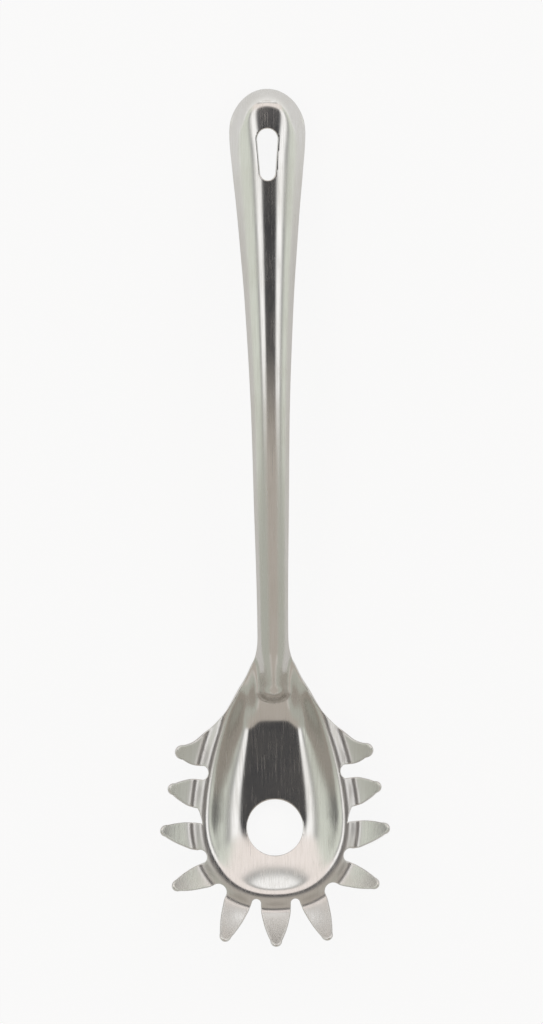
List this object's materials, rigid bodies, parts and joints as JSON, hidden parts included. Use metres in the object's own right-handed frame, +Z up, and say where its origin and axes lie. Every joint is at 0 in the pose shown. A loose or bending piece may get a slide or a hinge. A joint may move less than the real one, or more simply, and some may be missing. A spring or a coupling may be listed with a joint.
{
  "type": "pasta server",
  "caption": "Pasta server pressed from one sheet of polished steel, with a toothed bowl, a portion hole and a bowed handle with a hanging slot.",
  "frame": {"origin": "middle of the server's outline, on the table that it rests on", "axes": "+Y from the tines towards the end of the handle, +Z up out of the open bowl, +X to the right"},
  "size_m": [0.0888, 0.329, 0.0348],
  "materials": {
    "steel": "polished stainless steel"
  },
  "bodies": {
    "root": {"bowl": "steel", "handle": "steel", "neck": "steel", "shoulder_left": "steel", "shoulder_right": "steel", "tine_left_1": "steel", "tine_left_2": "steel", "tine_left_3": "steel", "tine_left_4": "steel", "tine_right_1": "steel", "tine_right_2": "steel", "tine_right_3": "steel", "tine_right_4": "steel", "tine_tip": "steel"}
  },
  "joints": []
}
